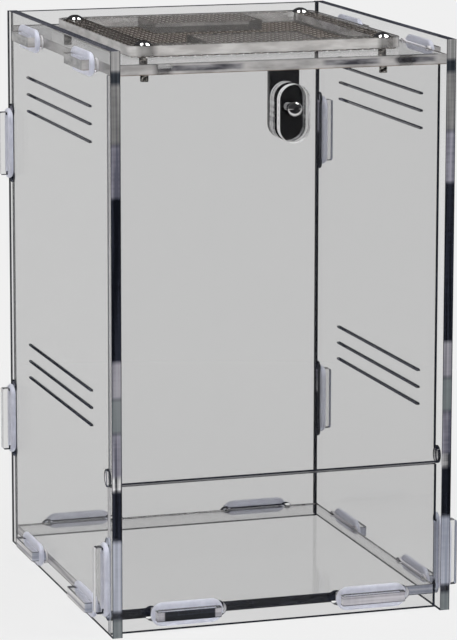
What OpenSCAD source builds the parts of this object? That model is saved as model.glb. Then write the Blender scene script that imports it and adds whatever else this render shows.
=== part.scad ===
// Tall clear terrarium of flat sheets. Each tab goes through a slot in the next sheet, and a
// soft ring round the tab's neck locks it. The drop-front door turns on two square tabs in
// round holes and is held shut by a turn latch. A woven mesh is screwed to the top plate.
// X is the width, Y runs from the front to the back and Z is up, all in millimetres.
// The origin is on the ground, midway between the faces of the front strip and the back panel.

/* [Sheets] */
// Thickness of every clear sheet
sheet_t = 5; // [4:0.5:6]
// Width over the two side panels
body_w = 175; // [165:1:220]
// Height of the side and back panels
body_h = 286.5; // [270:0.5:340]
// Depth from the face of the front strip to the rear face of the back panel
shell_d = 186; // [180:1:220]
// How far the side panels stand out in front of the strip and the door
front_reveal = 7; // [5:0.5:12]
// How far the side panels stand out behind the back panel
rear_reveal = 3; // [1:0.5:6]
// Height of the floor plate's underside above the ground
floor_lift = 6.1; // [5:0.1:8]
// Height of the fixed strip below the door
strip_h = 73.5; // [60:0.5:90]
// Drop from the panels' top edges to the top plate's underside
top_drop = 12; // [11:0.5:16]
// Gap between a sheet's edge and the face that it stands against
seat_gap = 0.05; // [0.02:0.01:0.1]

/* [Tabs and rings] */
// Length of a tab at its root and at its head
tab_l = 33; // [32:0.5:36]
// Length of a tab's neck, which the ring grips
neck_l = 30; // [26:0.2:31]
// Length of a tab's head beyond the ring
head_t = 3.8; // [2.5:0.1:5]
// Radius of the corners of a tab's head
head_r = 1; // [0.5:0.1:1.4]
// Clearance all round a tab in its slot
slot_gap = 0.15; // [0.05:0.05:0.4]
// Radius of the round relief at each end of a tab's slot
relief_r = 3.5; // [3:0.1:3.6]
// Distance from a tab's end to the middle of the relief beside it
relief_out = 0.8; // [0.4:0.1:1.5]
// Thickness of a ring along its tab
ring_t = 2.6; // [2:0.1:4]
// Width of a ring's wall
ring_wall = 3.5; // [3:0.1:4.5]
// Distance between the two tabs on each side of the floor and top plates
side_tab_pitch = 102; // [80:1:110]
// Distance from the side panels' front edges to the middle of those tabs, and of the lid
lid_mid = 95.25; // [90:0.25:100]
// Distance between the two tabs at the front and at the back of the floor plate
floor_tab_pitch = 96; // [80:1:110]
// Distance between the two tabs on each side of the back panel
back_tab_pitch = 148; // [120:1:160]
// Height of the middle of the front strip's side tabs
strip_tab_z = 27.5; // [27:0.5:32]

/* [Vent slots] */
// Length of a vent slot
vent_l = 120; // [90:1:130]
// Height of a vent slot
vent_h = 1.1; // [0.8:0.1:2]
// Distance between the slots of a group
vent_pitch = 8.7; // [6:0.1:10]
// Number of slots in a group
vent_count = 3; // [2:1:4]
// Distance from the side panels' front edges to the middle of the slots
vent_mid = 97; // [90:1:105]
// Drop from the top edge to the middle of the upper group
vent_drop = 39.4; // [36:0.2:50]
// Height of the middle of the lower group
vent_low_z = 106.8; // [102:0.2:125]

/* [Door] */
// Gap between the strip and the door
door_gap = 1; // [0.8:0.1:1.5]
// Gap between each side of the door and the side panel
door_side_gap = 0.5; // [0.3:0.1:1]
// Gap between the door and the top plate
door_top_gap = 0.6; // [0.4:0.1:2]
// Height of the square tabs that the door turns on
pivot_tab_h = 7; // [6:0.5:8]
// Radial clearance between a pivot tab's corners and its hole
pivot_gap = 0.2; // [0.1:0.05:0.4]
// Depth of a pivot tab's end below the side panel's outer face
pivot_inset = 0.2; // [0:0.1:1]

/* [Latch] */
// Distance of the latch screw to the right of the middle
latch_x = 5.5; // [-20:0.5:20]
// Drop from the top plate's underside to the latch screw
latch_drop = 19.3; // [17:0.1:24]
// Width of the knob, of the spacer behind it and of the tongue
knob_w = 15.3; // [13:0.1:18]
// Height of the knob and of the spacer
knob_h = 28.4; // [25:0.1:34]
// Height of the knob's top above its screw
knob_up = 11.9; // [10:0.1:14]
// Thickness of the spacer between the door and the tongue
spacer_t = 8; // [5:0.5:10]
// Thickness of the tongue
tongue_t = 3; // [2:0.5:5]
// Clearance of the turning tongue below the top plate
tongue_gap = 0.4; // [0.3:0.1:1]
// Gap between the door's faces and the latch
latch_gap = 0.1; // [0.05:0.05:0.3]
// Diameter of the latch screw's head
latch_head_d = 7.4; // [6:0.1:9]

/* [Lid] */
// Width of the mesh frame
lid_w = 139.5; // [130:0.5:145]
// Depth of the mesh frame
lid_d = 138.5; // [130:0.5:145]
// Radius of the mesh frame's corners
lid_r = 7; // [3:0.5:9]
// Width of the window in the mesh frame and the top plate
window_w = 113.6; // [100:0.2:115]
// Depth of the window beside its two inward bars
window_d = 118; // [100:1:120]
// Width of the inward bars in the middle of the window
bar_w = 57; // [40:1:70]
// Opening between the two inward bars
bar_gap = 54; // [40:1:70]
// Thickness of the woven mesh
mesh_t = 0.8; // [0.6:0.1:1.2]
// How far the mesh stops short of the mesh frame's edges
mesh_inset = 0.5; // [0.2:0.1:2]
// Distance between the lid screws across the width
screw_dx = 122.8; // [120:0.2:125]
// Distance between the lid screws from front to back
screw_dy = 124; // [122.5:0.5:125]
// Diameter of the lid screws' heads
lid_head_d = 8.8; // [7:0.1:9.5]

/* [Screws] */
// Diameter of the screws' shanks
shank_d = 4; // [3:0.1:4.5]
// Height of a screw's domed head
dome_h = 2.1; // [1.8:0.1:2.1]
// Radial clearance of a shank in its hole
shank_gap = 0.05; // [0.02:0.01:0.1]
// Width across the flats of the socket in a head
socket_w = 2.5; // [2:0.1:3]
// Depth of the socket in a head
socket_d = 1.2; // [0.8:0.1:1.5]
// How far the lid screws reach below the top plate
screw_tip = 7; // [2:0.1:9]

/* [Hidden] */
$fn = 64;

// Width between the side panels, and of the sheets that fit there
inner_w = body_w - 2 * sheet_t;
cross_w = inner_w - 2 * seat_gap;
// Faces of the front strip, the door and the back panel
strip_front_y = -shell_d / 2;
strip_rear_y = strip_front_y + sheet_t;
back_rear_y = shell_d / 2;
back_front_y = back_rear_y - sheet_t;
// Side panels
panel_front_y = strip_front_y - front_reveal;
panel_d = shell_d + front_reveal + rear_reveal;
// Heights of the horizontal sheets
floor_mid_z = floor_lift + sheet_t / 2;
top_z = body_h - top_drop;
top_mid_z = top_z + sheet_t / 2;
mesh_z = top_z + sheet_t;
lid_z = mesh_z + mesh_t;
// Middle of the lid and of the floor and top plates' side tabs
lid_y = panel_front_y + lid_mid;
// Reach of a tab into the sheet it grows from, so that the two shapes join
tab_root = 1;
// Door
door_z = strip_h + door_gap;
door_top_z = top_z - door_top_gap;
door_w = inner_w - 2 * door_side_gap;
pivot_z = door_z + pivot_tab_h / 2;
pivot_r = norm([pivot_tab_h, sheet_t]) / 2 + pivot_gap;
pivot_reach = body_w / 2 - pivot_inset;
// Latch
latch_z = top_z - latch_drop;
knob_r = knob_w / 2;
knob_down = knob_h - knob_up;
// The tongue's top corners pass just under the top plate as it turns
tongue_up = sqrt(pow(latch_drop - tongue_gap, 2) - pow(knob_r, 2));
knob_front_y = strip_front_y - latch_gap - sheet_t;
spacer_front_y = strip_rear_y + latch_gap;
tongue_front_y = spacer_front_y + spacer_t;
tongue_rear_y = tongue_front_y + tongue_t;
hole_d = shank_d + 2 * shank_gap;

// ---- Shared shapes ----

// Rectangle with rounded corners, centred
module rounded_square(w, d, r) {
    square([w - 2 * r, d], center = true);
    square([w, d - 2 * r], center = true);
    for (sx = [-1, 1], sy = [-1, 1])
        translate([sx * (w / 2 - r), sy * (d / 2 - r)]) circle(r);
}

// Slot with round ends along X, centred
module long_slot(l, w) {
    square([l - w, w], center = true);
    for (s = [-1, 1])
        translate([s * (l - w) / 2, 0]) circle(d = w);
}

// Tab that points along +Y from a sheet's edge: root, neck and rounded head
module tab() {
    neck_end = sheet_t + ring_t;
    head_end = neck_end + head_t;
    translate([-tab_l / 2, -tab_root]) square([tab_l, tab_root + sheet_t]);
    translate([-neck_l / 2, 0]) square([neck_l, head_end]);
    translate([-tab_l / 2, neck_end]) square([tab_l, head_t - head_r]);
    translate([head_r - tab_l / 2, neck_end]) square([tab_l - 2 * head_r, head_t]);
    for (s = [-1, 1])
        translate([s * (tab_l / 2 - head_r), head_end - head_r]) circle(head_r);
}

// The slot that a tab goes through, with a round relief at each end
module tab_slot() {
    square([tab_l + 2 * slot_gap, sheet_t + 2 * slot_gap], center = true);
    for (s = [-1, 1])
        translate([s * (tab_l / 2 + relief_out), 0]) circle(relief_r);
}

// Ring for a tab that points along +Z with its length along X
module ring() {
    color([0.84, 0.88, 0.95, 0.8])
        linear_extrude(ring_t)
            difference() {
                long_slot(neck_l + 2 * ring_wall, sheet_t + 2 * ring_wall);
                square([neck_l, sheet_t], center = true);
            }
}

// Screw that points along -Z, with the underside of its domed head at z = 0
module screw(head_d, l) {
    dome_r = (pow(head_d / 2, 2) + pow(dome_h, 2)) / (2 * dome_h);
    color("silver")
        difference() {
            union() {
                intersection() {
                    translate([0, 0, dome_h - dome_r]) sphere(dome_r);
                    cylinder(d = head_d, h = dome_h);
                }
                translate([0, 0, -l]) cylinder(d = shank_d, h = l + dome_h / 2);
            }
            translate([0, 0, dome_h - socket_d])
                cylinder(d = socket_w / cos(30), h = socket_d, $fn = 6);
        }
}

// ---- Sheets ----

// A side panel's outline, from its front edge and from the ground
module panel_outline() {
    difference() {
        square([panel_d, body_h]);
        // Floor and top plate
        for (s = [-1, 1], z = [floor_mid_z, top_mid_z])
            translate([lid_mid + s * side_tab_pitch / 2, z]) tab_slot();
        // Back panel
        for (s = [-1, 1])
            translate([front_reveal + shell_d - sheet_t / 2, body_h / 2 + s * back_tab_pitch / 2])
                rotate(90) tab_slot();
        // Front strip
        translate([front_reveal + sheet_t / 2, strip_tab_z]) rotate(90) tab_slot();
        // Pivot hole of the door
        translate([front_reveal + sheet_t / 2, pivot_z]) circle(pivot_r);
        // Two groups of vent slots
        for (z = [vent_low_z, body_h - vent_drop], i = [0 : vent_count - 1])
            translate([vent_mid, z + (i - (vent_count - 1) / 2) * vent_pitch])
                long_slot(vent_l, vent_h);
    }
}

module side_panel(x) {
    color([0.85, 0.9, 0.92, 0.35])
        translate([x, panel_front_y, 0]) rotate([90, 0, 90])
            linear_extrude(sheet_t) panel_outline();
}

module left_panel() {
    side_panel(-body_w / 2);
}

module right_panel() {
    side_panel(inner_w / 2);
}

// Slots in an upright cross sheet for the floor plate's tabs
module floor_tab_slots() {
    for (s = [-1, 1])
        translate([s * floor_tab_pitch / 2, floor_mid_z]) tab_slot();
}

module back_panel() {
    color([0.85, 0.9, 0.92, 0.35])
        translate([0, back_rear_y, 0]) rotate([90, 0, 0])
            linear_extrude(sheet_t)
                difference() {
                    union() {
                        translate([-cross_w / 2, 0]) square([cross_w, body_h]);
                        for (s = [-1, 1], t = [-1, 1])
                            translate([s * inner_w / 2, body_h / 2 + t * back_tab_pitch / 2])
                                rotate(-90 * s) tab();
                    }
                    floor_tab_slots();
                }
}

module front_strip() {
    color([0.85, 0.9, 0.92, 0.35])
        translate([0, strip_rear_y, 0]) rotate([90, 0, 0])
            linear_extrude(sheet_t)
                difference() {
                    union() {
                        translate([-cross_w / 2, 0]) square([cross_w, strip_h]);
                        for (s = [-1, 1])
                            translate([s * inner_w / 2, strip_tab_z]) rotate(-90 * s) tab();
                    }
                    floor_tab_slots();
                }
}

// Tabs on both sides of the floor and top plates
module side_tabs() {
    for (s = [-1, 1], t = [-1, 1])
        translate([s * inner_w / 2, lid_y + t * side_tab_pitch / 2]) rotate(-90 * s) tab();
}

module floor_plate() {
    color([0.85, 0.9, 0.92, 0.35])
        translate([0, 0, floor_lift])
            linear_extrude(sheet_t) {
                translate([-cross_w / 2, strip_rear_y + seat_gap])
                    square([cross_w, back_front_y - strip_rear_y - 2 * seat_gap]);
                side_tabs();
                for (s = [-1, 1]) {
                    translate([s * floor_tab_pitch / 2, back_front_y]) tab();
                    translate([s * floor_tab_pitch / 2, strip_rear_y]) rotate(180) tab();
                }
            }
}

// Window with two inward bars, shared by the top plate and the mesh frame
module window() {
    difference() {
        translate([0, lid_y]) square([window_w, window_d], center = true);
        for (s = [-1, 1])
            translate([-bar_w / 2, lid_y + (s - 1) / 2 * window_d + s * bar_gap / 2])
                square([bar_w, window_d]);
    }
}

// Places of the four lid screws
module at_lid_screws() {
    for (sx = [-1, 1], sy = [-1, 1])
        translate([sx * screw_dx / 2, lid_y + sy * screw_dy / 2]) children();
}

module top_plate() {
    color([0.85, 0.9, 0.92, 0.35])
        translate([0, 0, top_z])
            linear_extrude(sheet_t)
                difference() {
                    union() {
                        translate([-cross_w / 2, panel_front_y])
                            square([cross_w, back_front_y - panel_front_y - seat_gap]);
                        side_tabs();
                    }
                    window();
                    at_lid_screws() circle(d = hole_d);
                }
}

module mesh() {
    color([0.35, 0.34, 0.33])
        translate([0, 0, mesh_z])
            linear_extrude(mesh_t)
                difference() {
                    translate([0, lid_y])
                        rounded_square(lid_w - 2 * mesh_inset, lid_d - 2 * mesh_inset,
                                       lid_r - mesh_inset);
                    at_lid_screws() circle(d = hole_d);
                }
}

module mesh_frame() {
    color([0.85, 0.9, 0.92, 0.35])
        translate([0, 0, lid_z])
            linear_extrude(sheet_t)
                difference() {
                    translate([0, lid_y]) rounded_square(lid_w, lid_d, lid_r);
                    window();
                    at_lid_screws() circle(d = hole_d);
                }
}

module lid_screws() {
    translate([0, 0, lid_z + sheet_t])
        at_lid_screws() screw(lid_head_d, lid_z + sheet_t - top_z + screw_tip);
}

// ---- Door and latch ----

module door() {
    color([0.85, 0.9, 0.92, 0.35])
        translate([0, strip_rear_y, 0]) rotate([90, 0, 0])
            linear_extrude(sheet_t)
                difference() {
                    union() {
                        translate([-door_w / 2, door_z]) square([door_w, door_top_z - door_z]);
                        translate([-pivot_reach, door_z]) square([2 * pivot_reach, pivot_tab_h]);
                    }
                    translate([latch_x, latch_z]) circle(d = hole_d);
                }
}

// Turns a shape drawn round the screw in X and Z into a plate from y = front towards the back
module latch_plate(front_y, t) {
    translate([latch_x, front_y + t, latch_z]) rotate([90, 0, 0])
        linear_extrude(t)
            difference() {
                children();
                circle(d = hole_d);
            }
}

// Knob outline: a slot with round ends, with the screw nearer to its upper end
module knob_outline() {
    translate([0, (knob_up - knob_down) / 2]) rotate(90) long_slot(knob_h, knob_w);
}

module latch_knob() {
    color([0.85, 0.9, 0.92, 0.35])
        latch_plate(knob_front_y, sheet_t) knob_outline();
}

module latch_spacer() {
    color([0.85, 0.9, 0.92, 0.35])
        latch_plate(spacer_front_y, spacer_t) knob_outline();
}

module latch_tongue() {
    color([0.03, 0.03, 0.035])
        latch_plate(tongue_front_y, tongue_t) {
            translate([0, knob_r - knob_down]) circle(knob_r);
            translate([-knob_r, knob_r - knob_down])
                square([knob_w, knob_down - knob_r + tongue_up]);
        }
}

module latch_screw() {
    translate([latch_x, knob_front_y, latch_z]) rotate([90, 0, 0])
        screw(latch_head_d, tongue_rear_y - knob_front_y);
}

// ---- Rings: each lies on the outside of its sheet ----

// On a side panel: s is -1 on the left and 1 on the right, turn sets the tab's direction
module ring_on_side(s, y, z, turn) {
    translate([s * body_w / 2, y, z]) rotate([0, 90 * s, 0]) rotate(turn) ring();
}

// Round a tab of the floor or top plate: t is -1 at the front and 1 at the rear
module ring_flat(s, t, z) {
    ring_on_side(s, lid_y + t * side_tab_pitch / 2, z, 90);
}

// Round a tab of the back panel: t is -1 at the bottom and 1 at the top
module ring_back_side(s, t) {
    ring_on_side(s, back_rear_y - sheet_t / 2, body_h / 2 + t * back_tab_pitch / 2, 0);
}

// Round a side tab of the front strip
module ring_strip(s) {
    ring_on_side(s, strip_front_y + sheet_t / 2, strip_tab_z, 0);
}

// Round a floor tab in front of the strip or behind the back panel: t is -1 or 1
module ring_floor(s, t) {
    translate([s * floor_tab_pitch / 2, t * shell_d / 2, floor_mid_z]) rotate([-90 * t, 0, 0]) ring();
}

left_panel();
right_panel();
back_panel();
floor_plate();
front_strip();
top_plate();
mesh();
mesh_frame();
lid_screws();
door();
latch_knob();
latch_spacer();
latch_tongue();
latch_screw();
ring_flat(-1, -1, top_mid_z);  // ring_left_top_front
ring_flat(-1, 1, top_mid_z);  // ring_left_top_rear
ring_back_side(-1, 1);  // ring_left_back_upper
ring_back_side(-1, -1);  // ring_left_back_lower
ring_flat(-1, -1, floor_mid_z);  // ring_left_floor_front
ring_flat(-1, 1, floor_mid_z);  // ring_left_floor_rear
ring_strip(-1);  // ring_left_strip
ring_flat(1, -1, top_mid_z);  // ring_right_top_front
ring_flat(1, 1, top_mid_z);  // ring_right_top_rear
ring_back_side(1, 1);  // ring_right_back_upper
ring_back_side(1, -1);  // ring_right_back_lower
ring_flat(1, -1, floor_mid_z);  // ring_right_floor_front
ring_flat(1, 1, floor_mid_z);  // ring_right_floor_rear
ring_strip(1);  // ring_right_strip
ring_floor(-1, -1);  // ring_front_left
ring_floor(1, -1);  // ring_front_right
ring_floor(-1, 1);  // ring_back_left
ring_floor(1, 1);  // ring_back_right
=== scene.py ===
import math
from math import cos, pi, sin

import bpy
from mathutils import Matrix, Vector


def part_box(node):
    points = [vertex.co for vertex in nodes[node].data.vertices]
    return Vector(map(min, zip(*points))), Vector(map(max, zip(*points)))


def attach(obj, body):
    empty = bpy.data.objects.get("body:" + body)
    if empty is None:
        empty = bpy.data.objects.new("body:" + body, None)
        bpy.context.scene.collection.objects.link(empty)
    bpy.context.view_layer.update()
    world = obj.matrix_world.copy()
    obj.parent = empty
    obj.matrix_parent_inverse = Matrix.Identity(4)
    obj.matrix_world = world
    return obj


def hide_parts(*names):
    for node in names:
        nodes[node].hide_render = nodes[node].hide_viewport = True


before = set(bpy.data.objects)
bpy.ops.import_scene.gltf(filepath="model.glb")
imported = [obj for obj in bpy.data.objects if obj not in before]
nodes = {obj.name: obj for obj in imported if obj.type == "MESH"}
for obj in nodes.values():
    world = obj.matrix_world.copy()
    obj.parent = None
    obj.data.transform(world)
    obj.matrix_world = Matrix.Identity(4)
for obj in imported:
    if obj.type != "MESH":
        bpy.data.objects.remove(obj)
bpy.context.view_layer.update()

MM = 0.001


# ---- Node helpers ----

class Graph:
    """A material's node tree, with short calls for the nodes used here."""

    def __init__(self, name):
        self.material = bpy.data.materials.new(name)
        self.material.use_nodes = True
        self.tree = self.material.node_tree
        self.tree.nodes.clear()

    def add(self, kind, **settings):
        node = self.tree.nodes.new(kind)
        for key, value in settings.items():
            setattr(node, key, value)
        return node

    def link(self, source, target):
        self.tree.links.new(source, target)

    def put(self, socket, value):
        """Sets a socket to a number or colour, or links another socket to it."""
        if isinstance(value, bpy.types.NodeSocket):
            self.link(value, socket)
        else:
            socket.default_value = value

    def math(self, operation, a, b=0.0):
        node = self.add("ShaderNodeMath", operation=operation)
        self.put(node.inputs[0], a)
        self.put(node.inputs[1], b)
        return node.outputs[0]

    def ramp(self, factor, stops):
        """Maps a factor to colours: stops are (position, grey or colour)."""
        node = self.add("ShaderNodeValToRGB")
        elements = node.color_ramp.elements
        while len(elements) < len(stops):
            elements.new(0.5)
        for element, (place, colour) in zip(elements, stops):
            element.position = place
            if not isinstance(colour, tuple):
                colour = (colour, colour, colour)
            element.color = (*colour, 1)
        self.link(factor, node.inputs[0])
        return node.outputs[0]

    def noise(self, vector, scale, detail=2.0, roughness=0.5):
        node = self.add("ShaderNodeTexNoise")
        self.put(node.inputs["Vector"], vector)
        node.inputs["Scale"].default_value = scale
        node.inputs["Detail"].default_value = detail
        node.inputs["Roughness"].default_value = roughness
        return node.outputs["Fac"]

    def stretch(self, vector, scale):
        node = self.add("ShaderNodeMapping")
        self.put(node.inputs["Vector"], vector)
        node.inputs["Scale"].default_value = scale
        return node.outputs[0]

    def mix_colour(self, factor, a, b):
        node = self.add("ShaderNodeMix", data_type="RGBA")
        self.put(node.inputs["Factor"], factor)
        self.link(a, node.inputs["A"])
        self.link(b, node.inputs["B"])
        return node.outputs["Result"]

    def rise(self, value, low, high):
        """Goes from 0 to 1 while the value goes from low to high."""
        node = self.add("ShaderNodeMapRange")
        self.put(node.inputs["Value"], value)
        node.inputs["From Min"].default_value = low
        node.inputs["From Max"].default_value = high
        return node.outputs[0]

    def mix_shader(self, factor, a, b):
        node = self.add("ShaderNodeMixShader")
        self.put(node.inputs[0], factor)
        self.link(a, node.inputs[1])
        self.link(b, node.inputs[2])
        return node.outputs[0]

    def principled(self, **sockets):
        node = self.add("ShaderNodeBsdfPrincipled")
        for name, value in sockets.items():
            self.put(node.inputs[name.replace("_", " ")], value)
        return node

    def finish(self, shader):
        out = self.add("ShaderNodeOutputMaterial")
        self.link(shader, out.inputs["Surface"])
        return self.material


# ---- Materials ----

SHEET_TINT = 0.785      # share of the light that one clear sheet lets through
SHADOW_TINT = 0.93      # the same for shadows, at each face
SHEET_IOR = 1.49
ARRIS_WIDTH = 0.55      # how far in from a face its painted dark arris line reaches, in millimetres
ARRIS_CORE = 0.2        # the part of it that is fully dark
TURNED = 0.6            # how far an edge's normal points to the side that it belongs to

# The lid, in millimetres
LID_Y = -4.75           # its middle
LID_WINDOW = (57.5, 59.7)       # half width and half depth of its window
BARS_X = 56.5           # half width of the bars in the window
SCREW_X, SCREW_Y = 61.4, 62.0   # from its middle to a screw
SCREWS_X = (-SCREW_X, SCREW_X)
SCREWS_Y = (LID_Y - SCREW_Y, LID_Y + SCREW_Y)
PORT_R = 4.2            # half width of the clear place in front of a screw
THREAD_TOP = 274.4      # the screws' threads show below this height
THREAD_REACH = 12.0     # and no further down than this

# Painted light and shade of the cut edges, for the lamps and the dark room seen in them: from the dark
# to the light streaks
BLACK_EDGE = ((0.006, 0.007, 0.011), (0.026, 0.029, 0.042))
NAVY_EDGE = ((0.014, 0.018, 0.030), (0.070, 0.075, 0.105))
DARK_EDGE = ((0.015, 0.019, 0.025), (0.055, 0.062, 0.075))
VIOLET_EDGE = ((0.110, 0.110, 0.145), (0.380, 0.370, 0.430))
MAUVE_EDGE = ((0.230, 0.225, 0.260), (0.420, 0.410, 0.450))
LILAC_EDGE = ((0.330, 0.320, 0.360), (0.660, 0.640, 0.680))
TEAL_EDGE = ((0.170, 0.195, 0.205), (0.250, 0.270, 0.280))
GREY_EDGE = ((0.130, 0.130, 0.135), (0.330, 0.325, 0.320))
SILVER_EDGE = ((0.240, 0.240, 0.240), (0.440, 0.435, 0.430))
ASH_EDGE = ((0.360, 0.350, 0.345), (0.560, 0.545, 0.540))
MESH_EDGE = ((0.090, 0.083, 0.078), (0.230, 0.215, 0.205))
PALE_EDGE = ((0.300, 0.290, 0.310), (0.850, 0.830, 0.840))
SOFT_EDGE = ((0.640, 0.620, 0.605), (0.920, 0.900, 0.880))
STEEL_EDGE = ((0.050, 0.050, 0.062), (0.300, 0.295, 0.310))
SLATE_EDGE = ((0.075, 0.080, 0.105), (0.150, 0.155, 0.185))
MILKY_EDGE = ((0.320, 0.340, 0.410), (0.560, 0.580, 0.660))
WHITE_EDGE = ((0.550, 0.540, 0.560), (0.920, 0.910, 0.930))
SPARK_EDGE = ((0.040, 0.042, 0.050), (0.950, 0.940, 0.950))
BROWN_EDGE = ((0.150, 0.085, 0.040), (0.300, 0.190, 0.110))
# Painted shade of the dark lines along the arrises
ARRIS_SHADE = (0.018, 0.020, 0.028)
SIDES = {"left": (0, -1), "right": (0, 1), "front": (1, -1), "back": (1, 1),
         "bottom": (2, -1), "top": (2, 1)}      # the axis and the way that each side faces


def clear_sheet(node, axis, edges, plain=NAVY_EDGE, cover=0.95, shine=0.15, soft=False,
                streak=(0.38, 0.62), window=None, bare=(), ports=(), veil=None):
    """Clear sheet that is thin along one axis. Its faces let light through, and its cut edges
    are painted with streaks of light and shade along the cut, for the lamps and the dark room
    seen in them, between two arrises painted dark. edges lists (side, shade, ranges): the painted
    shade that the edges on that side have where every (axis, low, high) in millimetres holds.
    Plain is the painted shade elsewhere, and cover is how much of an edge the painted streaks hide.
    A soft sheet has mottled painted edges with faint painted arrises. Shine is how much a face
    reflects. Veil, if given, lays painted light on the faces. The sides in bare, but for their
    arrises, and the walls of a window, within its half width and half depth, stay nearly clear,
    and so do the edges in front of the screws, at the ports."""
    g = Graph("clear_" + node)
    coords = g.add("ShaderNodeTexCoord")
    # The normal that points out of the sheet, also where an edge is seen from inside it
    inside = g.add("ShaderNodeNewGeometry").outputs["Backfacing"]
    outward = g.add("ShaderNodeVectorMath", operation="SCALE")
    g.link(coords.outputs["Normal"], outward.inputs[0])
    g.link(g.math("SUBTRACT", 1.0, g.math("MULTIPLY", inside, 2.0)), outward.inputs["Scale"])
    normal = g.add("ShaderNodeSeparateXYZ")
    g.link(outward.outputs[0], normal.inputs[0])
    place = g.add("ShaderNodeSeparateXYZ")
    g.link(coords.outputs["Object"], place.inputs[0])
    low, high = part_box(node)

    def between(along, start, end):
        blur = 1.2 if along == 2 and axis != 2 else 0.3
        if soft:
            blur = 0.3 if along == 2 else 1.5
        start_mask = g.rise(place.outputs[along], (start - blur) * MM, (start + blur) * MM)
        end_mask = g.rise(place.outputs[along], (end + blur) * MM, (end - blur) * MM)
        return g.math("MULTIPLY", start_mask, end_mask)

    def turned_to(side):
        along, sign = SIDES[side]
        return g.math("GREATER_THAN", g.math("MULTIPLY", normal.outputs[along], sign), TURNED)

    def spare(share, mask, amount):
        """Takes this amount off the share of the streaks where the mask holds."""
        return g.math("MULTIPLY", share, g.math("SUBTRACT", 1.0, g.math("MULTIPLY", mask, amount)))

    if soft:
        streaks = g.noise(g.stretch(coords.outputs["Object"], (70.0, 70.0, 260.0)), 1.0, 3.0)
    else:
        band_scale = [14.0, 14.0, 14.0]
        band_scale[axis] = 620.0
        line_scale = [700.0, 700.0, 700.0]
        line_scale[axis] = 20.0
        bands = g.noise(g.stretch(coords.outputs["Object"], band_scale), 1.0, 1.0)
        lines = g.noise(g.stretch(coords.outputs["Object"], line_scale), 1.0, 2.0)
        streaks = g.math("ADD", g.math("MULTIPLY", bands, 0.86), g.math("MULTIPLY", lines, 0.14))

    # Painted light and shade of the edges: the plain shade, then each side's
    colour = g.ramp(streaks, [(streak[0], plain[0]), (streak[1], plain[1])])
    for side, shade, ranges in edges:
        mask = turned_to(side)
        for limits in ranges:
            mask = g.math("MULTIPLY", mask, between(*limits))
        tones = g.ramp(streaks, [(streak[0], shade[0]), (streak[1], shade[1])])
        colour = g.mix_colour(mask, colour, tones)
    # Painted shade: a dark line near each face of an edge, along its arris
    middle = (low[axis] + high[axis]) / 2
    half = (high[axis] - low[axis]) / 2
    depth = g.math("ABSOLUTE", g.math("SUBTRACT", place.outputs[axis], middle))
    near_face = g.rise(depth, half - ARRIS_WIDTH * MM, half - ARRIS_CORE * MM)
    arris = g.math("MULTIPLY", near_face, 0.15 if soft else 0.85)
    dark = g.add("ShaderNodeRGB")
    dark.outputs[0].default_value = (*ARRIS_SHADE, 1)
    colour = g.mix_colour(arris, colour, dark.outputs[0])
    # The painted edge, which carries the painted light and shade in its colour
    edge = g.principled(Base_Color=colour, Roughness=0.14, IOR=1.30)
    gloss = g.math("MULTIPLY", g.math("SUBTRACT", 1.0, inside), 0.5)
    g.link(gloss, edge.inputs["Specular IOR Level"])

    glass = g.principled(Base_Color=(*[SHEET_TINT] * 3, 1), Roughness=0.0, IOR=SHEET_IOR)
    glass.inputs["Transmission Weight"].default_value = 1.0
    clear = g.add("ShaderNodeBsdfRefraction")
    clear.inputs["Color"].default_value = (*[math.sqrt(SHEET_TINT)] * 3, 1)
    clear.inputs["Roughness"].default_value = 0.0
    clear.inputs["IOR"].default_value = SHEET_IOR
    face = g.mix_shader(shine, clear.outputs[0], glass.outputs[0])
    # The veil lays painted light on the faces
    if veil:
        face = veil(g, place, face)
    is_edge = g.math("LESS_THAN", g.math("ABSOLUTE", normal.outputs[axis]), 0.5)
    share = g.math("MULTIPLY", is_edge, cover)
    for side in bare:
        off_arris = g.math("SUBTRACT", 1.0, arris)
        share = spare(share, g.math("MULTIPLY", turned_to(side), off_arris), 0.9)
    if window:
        in_window = g.math("MULTIPLY", between(0, -window[0], window[0]),
                           between(1, LID_Y - window[1], LID_Y + window[1]))
        share = spare(share, in_window, 0.95)
    for port in ports:
        share = spare(share, between(0, port - PORT_R, port + PORT_R), 0.6)
    surface = g.mix_shader(share, face, edge.outputs[0])

    passing = g.add("ShaderNodeBsdfTransparent")
    passing.inputs[0].default_value = (SHADOW_TINT, SHADOW_TINT, SHADOW_TINT, 1)
    path = g.add("ShaderNodeLightPath")
    indirect = g.math("MAXIMUM", path.outputs["Is Shadow Ray"], path.outputs["Is Diffuse Ray"])
    return g.finish(g.mix_shader(indirect, surface, passing.outputs[0]))


def painted_bar_light(g, place, face):
    """Lays painted light, a faint pale layer, over the bars in the middle of the mesh frame, and its
    arms stay clear.
    """
    on_bars = g.math("LESS_THAN", g.math("ABSOLUTE", place.outputs[0]), BARS_X * MM)
    # The pale layer of painted light on the bars
    bar_light = g.add("ShaderNodeBsdfDiffuse")
    bar_light.inputs[0].default_value = (0.70, 0.68, 0.66, 1)
    return g.mix_shader(g.math("MULTIPLY", on_bars, 0.06), face, bar_light.outputs[0])


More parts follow.
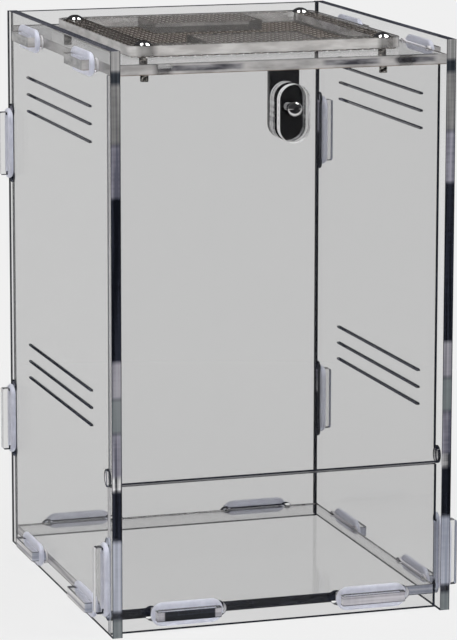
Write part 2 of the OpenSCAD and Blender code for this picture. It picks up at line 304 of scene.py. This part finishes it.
def silicone():
    """Milky rubber that lets light in, slightly blue, with a painted lighter sheen towards its rim."""
    g = Graph("silicone")
    coords = g.add("ShaderNodeTexCoord")
    mottle = g.noise(coords.outputs["Object"], 260.0, 3.0)
    body = g.principled(Roughness=0.3, IOR=1.42)
    g.link(g.ramp(mottle, [(0.3, (0.68, 0.69, 0.77)), (0.7, (0.86, 0.87, 0.95))]),
           body.inputs["Base Color"])
    body.inputs["Transmission Weight"].default_value = 0.5
    bump = g.add("ShaderNodeBump")
    bump.inputs["Strength"].default_value = 0.15
    bump.inputs["Distance"].default_value = 0.0002
    g.link(mottle, bump.inputs["Height"])
    g.link(bump.outputs[0], body.inputs["Normal"])
    # Painted sheen: a lighter diffuse mixed in where the surface turns away from the view
    rim = g.add("ShaderNodeBsdfDiffuse")
    rim.inputs[0].default_value = (0.68, 0.68, 0.74, 1)
    facing = g.add("ShaderNodeLayerWeight")
    facing.inputs[0].default_value = 0.35
    surface = g.mix_shader(g.math("MULTIPLY", facing.outputs["Facing"], 0.6), body.outputs[0],
                           rim.outputs[0])
    passing = g.add("ShaderNodeBsdfTransparent")
    passing.inputs[0].default_value = (0.7, 0.72, 0.76, 1)
    path = g.add("ShaderNodeLightPath")
    return g.finish(g.mix_shader(path.outputs["Is Shadow Ray"], surface, passing.outputs[0]))


def polished_steel():
    """Bright steel, with painted shade and light in streaks on the threads below the top plate, for
    their grooves and crests.
    """
    g = Graph("polished_steel")
    coords = g.add("ShaderNodeTexCoord")
    wear = g.noise(coords.outputs["Object"], 900.0, 2.0)
    metal = g.principled(Metallic=1.0)
    g.link(g.ramp(wear, [(0.3, 0.06), (0.8, 0.16)]), metal.inputs["Roughness"])
    bright = g.add("ShaderNodeRGB")
    bright.outputs[0].default_value = (0.72, 0.71, 0.71, 1)
    place = g.add("ShaderNodeSeparateXYZ")
    g.link(coords.outputs["Object"], place.inputs[0])
    # Painted light and shade on the threads: dark streaks for the grooves, lighter ones for the crests
    streaks = g.noise(g.stretch(coords.outputs["Object"], (900.0, 900.0, 700.0)), 1.0, 1.0)
    painted_thread = g.ramp(streaks, [(0.50, (0.008, 0.007, 0.006)), (0.66, (0.55, 0.52, 0.49))])
    low = g.math("MULTIPLY", g.math("LESS_THAN", place.outputs[2], THREAD_TOP * MM),
                 g.math("GREATER_THAN", place.outputs[2], (THREAD_TOP - THREAD_REACH) * MM))
    g.link(g.mix_colour(low, bright.outputs[0], painted_thread), metal.inputs["Base Color"])
    return g.finish(metal.outputs[0])


def mesh_wire(name, dark, light):
    """Grained wire, from its dark to its light grains."""
    g = Graph(name)
    coords = g.add("ShaderNodeTexCoord")
    grain = g.noise(coords.outputs["Object"], 1500.0, 2.0)
    metal = g.principled(Metallic=0.6, Roughness=0.35)
    g.link(g.ramp(grain, [(0.3, dark), (0.75, light)]), metal.inputs["Base Color"])
    return g.finish(metal.outputs[0])


def black_plastic():
    """Glossy black sheet with faint smears."""
    g = Graph("black_plastic")
    coords = g.add("ShaderNodeTexCoord")
    smears = g.noise(coords.outputs["Object"], 300.0, 2.0)
    body = g.principled(Base_Color=(0.004, 0.004, 0.006, 1), IOR=1.49)
    body.inputs["Specular IOR Level"].default_value = 0.25
    g.link(g.ramp(smears, [(0.3, 0.05), (0.8, 0.14)]), body.inputs["Roughness"])
    return g.finish(body.outputs[0])


# Painted light and shade on the side panels' front edges, by height in millimetres. Beside the vent
# slots, the door's foot and the rings the edge is painted as catching light, with a painted highlight
# at the door's foot, and between them it is painted dark for the dark room that it sees.
FRONT_EDGE = [(276.5, 288.0, SILVER_EDGE), (270.5, 276.5, DARK_EDGE), (242.0, 270.5, GREY_EDGE),
              (216.0, 241.4, VIOLET_EDGE), (137.0, 216.0, BLACK_EDGE), (119.0, 136.6, MAUVE_EDGE),
              (102.0, 118.4, TEAL_EDGE), (80.0, 101.4, VIOLET_EDGE), (73.0, 80.0, SPARK_EDGE),
              (48.5, 73.0, BLACK_EDGE), (13.0, 48.0, MILKY_EDGE), (9.0, 13.0, BLACK_EDGE),
              (-1.0, 9.0, TEAL_EDGE)]
SIDE_EDGES = [("front", shade, [(2, low, high)]) for low, high, shade in FRONT_EDGE]
# The rear and bottom edges are painted dark: painted shade
SIDE_EDGES += [("back", BLACK_EDGE, []), ("bottom", BLACK_EDGE, [])]
# Painted light and shade on the walls of the slots for the strip's tabs
SIDE_EDGES += [(side, MILKY_EDGE, [(1, -95, -84), (2, 8, 50)]) for side in ("back", "top", "bottom")]
# Painted light and shade on the walls of the slots for the top and floor plates' tabs
SIDE_EDGES += [(side, PALE_EDGE, [(1, -85, 75), (2, low, high)])
               for side in ("front", "back", "top", "bottom") for low, high in ((3, 14), (271, 283))]
RIM = (2, 286.0, 287.0)
# Painted light and shade on each sheet's cut edges, side by side
SHEETS = {
    "left_panel": dict(axis=0, edges=SIDE_EDGES + [("top", SLATE_EDGE, [RIM])]),
    "right_panel": dict(axis=0, edges=SIDE_EDGES + [("top", NAVY_EDGE, [RIM])]),
    "back_panel": dict(axis=1, plain=BLACK_EDGE, edges=[
        ("top", NAVY_EDGE, [RIM]), ("left", WHITE_EDGE, [(0, -96, -84)]),
        ("right", MILKY_EDGE, [(0, 84, 96)])]),
    "front_strip": dict(axis=1, plain=BLACK_EDGE, edges=[
        ("left", WHITE_EDGE, []), ("right", MILKY_EDGE, [(0, 84, 96)])]),
    "door": dict(axis=1, plain=BLACK_EDGE, edges=[
        ("left", WHITE_EDGE, []), ("left", SLATE_EDGE, [(1, -90.6, -87)])]),
    "floor_plate": dict(axis=2, shine=0.35, bare=("back", "right"), edges=[
        ("left", PALE_EDGE, []), ("front", MILKY_EDGE, []), ("front", BLACK_EDGE, [(0, -82, 58)]),
        ("front", LILAC_EDGE, [(1, -101, -95)]),
        ("front", BLACK_EDGE, [(1, -101, -95), (0, -60.9, -35.0)])]),
    "top_plate": dict(axis=2, shine=0.25, soft=True, plain=MESH_EDGE, window=LID_WINDOW,
                      ports=SCREWS_X, edges=[
        ("left", ASH_EDGE, []), ("left", GREY_EDGE, [(0, -96, -90)]), ("front", ASH_EDGE, [])]
        + [("front", STEEL_EDGE, [(2, 276.0, 278.6), (0, low, high)])
           for low, high in ((-63.6, -21.6), (19.4, 47.5), (56.2, 76.7))]
        + [("front", BROWN_EDGE, [(2, 274.0, 274.7)])]),
    "mesh_frame": dict(axis=2, shine=0.25, soft=True, plain=MESH_EDGE, window=LID_WINDOW,
                       ports=SCREWS_X, cover=0.75, veil=painted_bar_light, edges=[
        ("left", SOFT_EDGE, []), ("front", SOFT_EDGE, [])]),
    "latch_knob": dict(axis=1, plain=SPARK_EDGE, streak=(0.46, 0.54), edges=[]),
    "latch_spacer": dict(axis=1, plain=SPARK_EDGE, streak=(0.46, 0.54), edges=[]),
}
SILICONE = silicone()
STEEL = polished_steel()
# Lit and shaded copies of one wire: painted shade on the wires across the width, painted light on those
# along the depth
SHADED_WIRE = mesh_wire("wire_painted_shade", (0.045, 0.038, 0.034), (0.180, 0.155, 0.135))
LIT_WIRE = mesh_wire("wire_painted_light", (0.450, 0.410, 0.380), (0.900, 0.850, 0.800))
BLACK = black_plastic()


def dress(node, material):
    for i in range(len(nodes[node].data.materials)):
        nodes[node].data.materials[i] = material


for node, look in SHEETS.items():
    dress(node, clear_sheet(node, **look))
    # Keeps the flat faces flat up to the rims of their holes
    split = nodes[node].modifiers.new("crisp_edges", "EDGE_SPLIT")
    split.split_angle = pi / 5
for node in ("lid_screws", "latch_screw"):
    dress(node, STEEL)
dress("latch_tongue", BLACK)


# ---- New pieces ----

def add_piece(name, verts, faces, materials, body, replaced=None, slots=None):
    """Smooth mesh that rides on a body. Slots gives each face's material, and replaced is the
    node that it stands in for."""
    mesh = bpy.data.meshes.new(name)
    mesh.from_pydata(verts, [], faces)
    mesh.polygons.foreach_set("use_smooth", [True] * len(mesh.polygons))
    for material in materials:
        mesh.materials.append(material)
    if slots:
        mesh.polygons.foreach_set("material_index", slots)
    mesh.update()
    piece = bpy.data.objects.new(name, mesh)
    bpy.context.scene.collection.objects.link(piece)
    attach(piece, body)
    if replaced:
        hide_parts(replaced)
    return piece


RING_GAP = 0.05 * MM        # between a ring and the sheet and tab head beside it
RING_ROUND = 1.2 * MM       # radius of a ring's outer corners
RING_LIP = 0.3 * MM         # height and, as a share of the wall, width of its inner bevels
RING_LIP_SHARE = 0.06
HOLE = (30.1 * MM, 5.1 * MM)    # length and width of a ring's slot, round a tab's neck
END_STEPS = 16              # points round a ring's end, along its side and round its corner
SIDE_STEPS = 8
CORNER_STEPS = 4


def ring_outlines(length, width):
    """Matched points of a ring's outer outline, with round ends, and of its inner slot."""
    straight = (length - width) / 2
    radius = width / 2
    half_l, half_w = HOLE[0] / 2, HOLE[1] / 2
    outer, inner = [], []
    for end in (1, -1):
        for i in range(END_STEPS + 1):
            angle = pi * (i / END_STEPS - 0.5)
            outer.append((end * (straight + radius * cos(angle)), end * radius * sin(angle)))
            inner.append((end * half_l, end * half_w * sin(angle)))
        for i in range(1, SIDE_STEPS):
            t = 1 - 2 * i / SIDE_STEPS
            outer.append((end * straight * t, end * radius))
            inner.append((end * half_l * t, end * half_w))
    return outer, inner


def ring_profile(wall, height):
    """Steps across a ring's wall: how far out, from 0 to 1, and the height."""
    steps = [(0.0, RING_LIP), (RING_LIP_SHARE, 0.0)]
    round_u = RING_ROUND / wall
    for i in range(CORNER_STEPS + 1):
        angle = pi / 2 * i / CORNER_STEPS
        steps.append((1 - round_u + round_u * sin(angle), RING_ROUND * (1 - cos(angle))))
    for i in range(CORNER_STEPS + 1):
        angle = pi / 2 * i / CORNER_STEPS
        steps.append((1 - round_u + round_u * cos(angle),
                      height - RING_ROUND * (1 - sin(angle))))
    steps += [(RING_LIP_SHARE, height), (0.0, height - RING_LIP)]
    return steps


def add_ring(node):
    """Ring with rounded corners in place of the node's plain one."""
    low, high = (Vector(corner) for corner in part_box(node))
    size = high - low
    order = sorted(range(3), key=lambda i: size[i])
    thin, across, along = order
    out = 1 if (low + high)[thin] > 0 else -1
    outer, inner = ring_outlines(size[along], size[across])
    profile = ring_profile((size[across] - HOLE[1]) / 2, size[thin] - 2 * RING_GAP)
    seat = low[thin] if out > 0 else high[thin]
    middle = (low + high) / 2
    verts = []
    for (ox, oy), (ix, iy) in zip(outer, inner):
        for share, height in profile:
            point = [0, 0, 0]
            point[along] = middle[along] + ix + (ox - ix) * share
            point[across] = middle[across] + iy + (oy - iy) * share
            point[thin] = seat + out * (RING_GAP + height)
            verts.append(point)
    n, m = len(outer), len(profile)
    faces = [(i * m + j, (i + 1) % n * m + j, (i + 1) % n * m + (j + 1) % m, i * m + (j + 1) % m)
             for i in range(n) for j in range(m)]
    # Turns the faces outwards, whichever way the ring points
    turn = Vector((0, 0, 0))
    turn[along] = 1
    side = Vector((0, 0, 0))
    side[across] = 1
    up = Vector((0, 0, 0))
    up[thin] = out
    if turn.cross(side).dot(up) < 0:
        faces = [face[::-1] for face in faces]
    add_piece("soft_" + node, verts, faces, [SILICONE], "shell", node)


for node in list(nodes):
    if node.startswith("ring_"):
        add_ring(node)

WIRE_PITCH = 3.07 * MM
WIRE_R = 0.19 * MM
TALL_R = 0.27 * MM          # half height of the wires that run across the width
WIRE_STEPS = 4              # points on a wire from one crossing to the next
WIRE_SIDES = 6
CORNER = 6.5 * MM           # radius of the mesh's corners
CUT_R = 2.4 * MM            # the wires stop this far from a screw's axis


def woven_mesh():
    """Plain weave: each wire goes over and under the wires that cross it."""
    low, high = (Vector(corner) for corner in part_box("mesh"))
    middle = (low + high) / 2
    half = (high - low) / 2
    screw = Vector((SCREW_X, SCREW_Y)) * MM
    verts, faces, slots = [], [], []

    def reach(offset, half_l, half_w):
        """Half length of a wire at this distance from the middle, within the round corners."""
        over = abs(offset) - (half_w - CORNER)
        if over <= 0:
            return half_l
        return half_l - CORNER + math.sqrt(max(CORNER ** 2 - over ** 2, 0))

    def add_wire(points, across):
        start = len(verts)
        for point in points:
            for k in range(WIRE_SIDES):
                angle = 2 * pi * k / WIRE_SIDES
                vert = Vector(point)
                vert[across] += WIRE_R * cos(angle)
                vert.z += (WIRE_R if across == 0 else TALL_R) * sin(angle)
                verts.append(vert)
        for i in range(len(points) - 1):
            for k in range(WIRE_SIDES):
                a = start + i * WIRE_SIDES + k
                b = start + i * WIRE_SIDES + (k + 1) % WIRE_SIDES
                face = (a, b, b + WIRE_SIDES, a + WIRE_SIDES)
                faces.append(face if across == 0 else face[::-1])
        last = start + (len(points) - 1) * WIRE_SIDES
        faces.append(tuple(range(start, start + WIRE_SIDES)))
        faces.append(tuple(range(last, last + WIRE_SIDES)))
        slots.extend([across] * (len(faces) - len(slots)))

    for along in (0, 1):
        across = 1 - along
        swing = half.z - (WIRE_R if across == 0 else TALL_R) - 0.005 * MM
        count = int(half[across] / WIRE_PITCH)
        for row in range(-count, count + 1):
            offset = row * WIRE_PITCH
            length = reach(offset, half[along], half[across])
            run = []
            steps = int(length / WIRE_PITCH * WIRE_STEPS)
            for i in range(-steps, steps + 1):
                x = i * WIRE_PITCH / WIRE_STEPS
                wave = swing * cos(pi * (x / WIRE_PITCH + row)) * (1 if along == 0 else -1)
                point = [0, 0, middle.z + wave]
                point[along] = middle[along] + x
                point[across] = middle[across] + offset
                near = Vector((abs(x) - screw[along], abs(offset) - screw[across]))
                if near.length < CUT_R:
                    if len(run) > 1:
                        add_wire(run, across)
                    run = []
                else:
                    run.append(point)
            if len(run) > 1:
                add_wire(run, across)
    # The wires along the depth get the painted-light copy, those across the width the painted-shade
    # copy
    add_piece("woven_mesh", verts, faces, [LIT_WIRE, SHADED_WIRE], "shell", "mesh",
              slots)


woven_mesh()

THREAD_PITCH = 0.7 * MM
THREAD_STEPS = 16           # points round one turn
THREAD_FLANK = 0.26         # half the width of the thread's foot, in pitches
THREAD_INSET = 0.4 * MM     # how far the threads stay off the plate and the screw's end
SHANK_R = 2.0 * MM
CREST_R = 2.14 * MM


def lid_threads():
    """Threads on the parts of the lid screws that stick out below the top plate."""
    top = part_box("top_plate")[0][2] - THREAD_INSET
    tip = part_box("lid_screws")[0][2] + THREAD_INSET
    steps = int((top - tip) / THREAD_PITCH * THREAD_STEPS)
    root = SHANK_R - 0.02 * MM
    profile = ((root, THREAD_FLANK), (CREST_R, 0.0), (root, -THREAD_FLANK))
    verts, faces = [], []
    for x in SCREWS_X:
        for y in SCREWS_Y:
            start = len(verts)
            for i in range(steps + 1):
                angle = 2 * pi * i / THREAD_STEPS
                z = top - THREAD_PITCH * i / THREAD_STEPS
                for radius, rise in profile:
                    verts.append((x * MM + radius * cos(angle), y * MM + radius * sin(angle),
                                  z + rise * THREAD_PITCH))
            for i in range(steps):
                a = start + 3 * i
                faces += [(a + k, a + (k + 1) % 3, a + 3 + (k + 1) % 3, a + 3 + k) for k in range(3)]
            faces += [(start + 2, start + 1, start),
                      (start + 3 * steps, start + 3 * steps + 1, start + 3 * steps + 2)]
    add_piece("lid_threads", verts, faces, [STEEL], "shell")


lid_threads()


# ---- Camera, as in the photograph ----

FOCAL = 3481.6          # in pixels of the 457 x 640 frame
CENTRE = (200.0, 262.0)
FRAME = (457, 640)
YAW, PITCH = 0.30364, 0.17531
EYE = Vector((-0.53503, -1.67, 0.47487))

camera = bpy.data.objects.new("camera", bpy.data.cameras.new("camera"))
bpy.context.scene.collection.objects.link(camera)
camera.data.sensor_width = 36.0
camera.data.lens = FOCAL / FRAME[1] * camera.data.sensor_width
camera.data.shift_x = (FRAME[0] / 2 - CENTRE[0]) / FRAME[1]
camera.data.shift_y = (CENTRE[1] - FRAME[1] / 2) / FRAME[1]
camera.data.clip_end = 50
camera.location = EYE
camera.rotation_euler = (pi / 2 - PITCH, 0, -YAW)
bpy.context.scene.camera = camera


# ---- Floor, world and lamps ----

FLOOR_Z = -0.5 * MM         # just below the sheets' lower edges, which stay visible
GLOW = 0.87                 # brightness of the pale ground


def floor_material():
    """Pale ground. Near the object part of it is matt and takes its shadow, and further away
    it turns into an even glow."""
    g = Graph("floor_pale")
    coords = g.add("ShaderNodeTexCoord")
    distance = g.add("ShaderNodeVectorMath", operation="LENGTH")
    g.link(coords.outputs["Object"], distance.inputs[0])
    share = g.math("ADD", 0.85, g.math("MULTIPLY", g.rise(distance.outputs["Value"], 0.12, 0.55), 0.15))
    path = g.add("ShaderNodeLightPath")
    seen = g.math("MAXIMUM", path.outputs["Is Camera Ray"],
                  g.math("MAXIMUM", path.outputs["Is Glossy Ray"],
                         path.outputs["Is Transmission Ray"]))
    matt = g.add("ShaderNodeBsdfDiffuse")
    matt.inputs[0].default_value = (0.8, 0.8, 0.8, 1)
    glow = g.add("ShaderNodeEmission")
    glow.inputs[0].default_value = (1, 1, 1, 1)
    glow.inputs[1].default_value = GLOW
    return g.finish(g.mix_shader(g.math("MULTIPLY", seen, share), matt.outputs[0], glow.outputs[0]))


bpy.ops.mesh.primitive_plane_add(size=40, location=(0, 0, FLOOR_Z))
floor = bpy.context.object
floor.name = "floor"
floor.data.materials.append(floor_material())


def set_world():
    """Dark room that the camera sees as the pale ground."""
    world = bpy.data.worlds.new("studio")
    bpy.context.scene.world = world
    world.use_nodes = True
    tree = world.node_tree
    tree.nodes.clear()
    path = tree.nodes.new("ShaderNodeLightPath")
    room = tree.nodes.new("ShaderNodeBackground")
    room.inputs[0].default_value = (0.045, 0.045, 0.048, 1)
    pale = tree.nodes.new("ShaderNodeBackground")
    pale.inputs[0].default_value = (0.87, 0.87, 0.87, 1)
    mix = tree.nodes.new("ShaderNodeMixShader")
    out = tree.nodes.new("ShaderNodeOutputWorld")
    tree.links.new(path.outputs["Is Camera Ray"], mix.inputs[0])
    tree.links.new(room.outputs[0], mix.inputs[1])
    tree.links.new(pale.outputs[0], mix.inputs[2])
    tree.links.new(mix.outputs[0], out.inputs[0])


def softbox(name, place, aim, size, watts):
    """Wide lamp that faces a point and isn't mirrored."""
    data = bpy.data.lights.new(name, "AREA")
    data.shape = "RECTANGLE"
    data.size, data.size_y = size
    data.energy = watts
    lamp = bpy.data.objects.new(name, data)
    bpy.context.scene.collection.objects.link(lamp)
    lamp.location = place
    lamp.visible_glossy = False
    lamp.rotation_euler = (Vector(aim) - Vector(place)).to_track_quat("-Z", "Y").to_euler()


def stage_card(name, colour, strength, size, place, turn, through=False):
    """Card that shows only in reflections, and through the sheets if told."""
    bpy.ops.mesh.primitive_plane_add(size=1)
    card = bpy.context.object
    card.name = name
    g = Graph(name)
    if strength:
        skin = g.add("ShaderNodeEmission")
        skin.inputs[1].default_value = strength
    else:
        skin = g.add("ShaderNodeBsdfDiffuse")
    skin.inputs[0].default_value = (*colour, 1)
    card.data.materials.append(g.finish(skin.outputs[0]))
    card.scale = (*size, 1)
    card.location = place
    card.rotation_euler = turn
    card.visible_camera = False
    card.visible_diffuse = False
    card.visible_transmission = through
    card.visible_shadow = False


set_world()
# White card low behind the object, mirrored by the floor plate
stage_card("backdrop_card", (1, 1, 1), GLOW, (0.9, 0.30), (0.6 * sin(YAW), 0.6 * cos(YAW), 0.151),
           (pi / 2, 0, -YAW), through=True)
# Panels overhead, which the domed screws and the rings mirror as white dots
stage_card("glint_left", (1, 1, 1), 9.0, (0.55, 0.55), (-0.36, 0.11, 2.14), (0, 0, 0))
stage_card("glint_right", (1, 1, 1), 9.0, (0.85, 0.85), (1.08, -0.07, 1.96), (0, 0.5, 0))
# Dark cloth on the ground in front, which keeps the sheets' faces clear of glare
stage_card("cloth_front", (0.02, 0.02, 0.022), 0, (6.0, 4.0), (1.0, -2.22, -0.2 * MM), (0, 0, 0))
softbox("softbox_left", (-1.2, -0.9, 1.9), (0, 0, 0.15), (0.9, 0.9), 35)
softbox("softbox_right", (1.1, -0.6, 2.0), (0, 0, 0.15), (0.9, 0.9), 35)

scene = bpy.context.scene
scene.view_settings.view_transform = "Standard"
scene.cycles.max_bounces = 24
scene.cycles.transmission_bounces = 24
scene.cycles.glossy_bounces = 12
scene.cycles.transparent_max_bounces = 32
